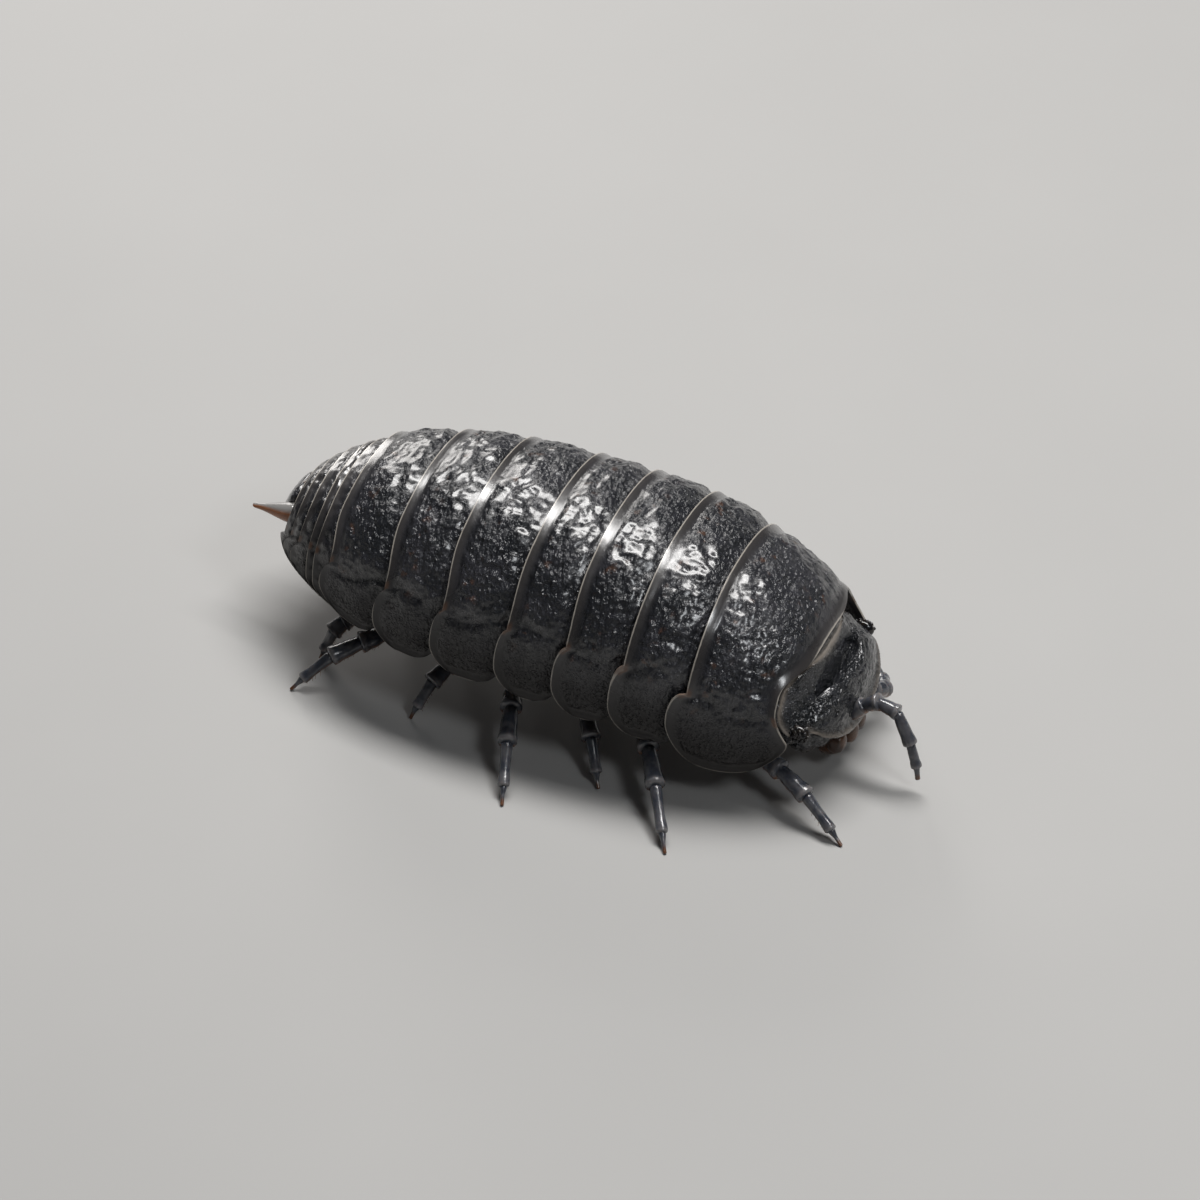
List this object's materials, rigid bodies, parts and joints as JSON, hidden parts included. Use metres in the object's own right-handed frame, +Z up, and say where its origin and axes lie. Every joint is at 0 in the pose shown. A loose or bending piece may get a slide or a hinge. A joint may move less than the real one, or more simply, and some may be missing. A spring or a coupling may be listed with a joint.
{
  "type": "pill woodlouse model",
  "caption": "Still life-size woodlouse: arched overlapping back plates with side lobes, walking legs, feelers and a short tail spike.",
  "frame": {"origin": "floor level under the middle of the whole animal's box", "axes": "+X towards the head, +Y to the animal's left, +Z up"},
  "size_m": [0.0192, 0.011, 0.0063],
  "materials": {
    "cuticle": "glossy slate grey shell with fine granules and pale thin rims",
    "limb": "glossy blue-grey, slightly see-through, pale at the joints",
    "eye": "glossy black facets",
    "mouth": "satin orange-brown",
    "gill_flap": "satin pale grey",
    "tail_spike": "satin pale grey above, orange-brown below"
  },
  "bodies": {
    "root": {"head": "cuticle", "mouthparts": "mouth", "pereonite_1": "cuticle", "pereonite_2": "cuticle", "pereonite_3": "cuticle", "pereonite_4": "cuticle", "pereonite_5": "cuticle", "pereonite_6": "cuticle", "pereonite_7": "cuticle", "pleon": "cuticle", "telson": "cuticle", "pleopods": "gill_flap", "eye_right": "eye", "antenna_right": "limb", "uropod_right": "tail_spike", "leg_right_1": "limb", "leg_right_2": "limb", "leg_right_3": "limb", "leg_right_4": "limb", "leg_right_5": "limb", "leg_right_6": "limb", "leg_right_7": "limb", "eye_left": "eye", "antenna_left": "limb", "uropod_left": "tail_spike", "leg_left_1": "limb", "leg_left_2": "limb", "leg_left_3": "limb", "leg_left_4": "limb", "leg_left_5": "limb", "leg_left_6": "limb", "leg_left_7": "limb"}
  },
  "joints": []
}
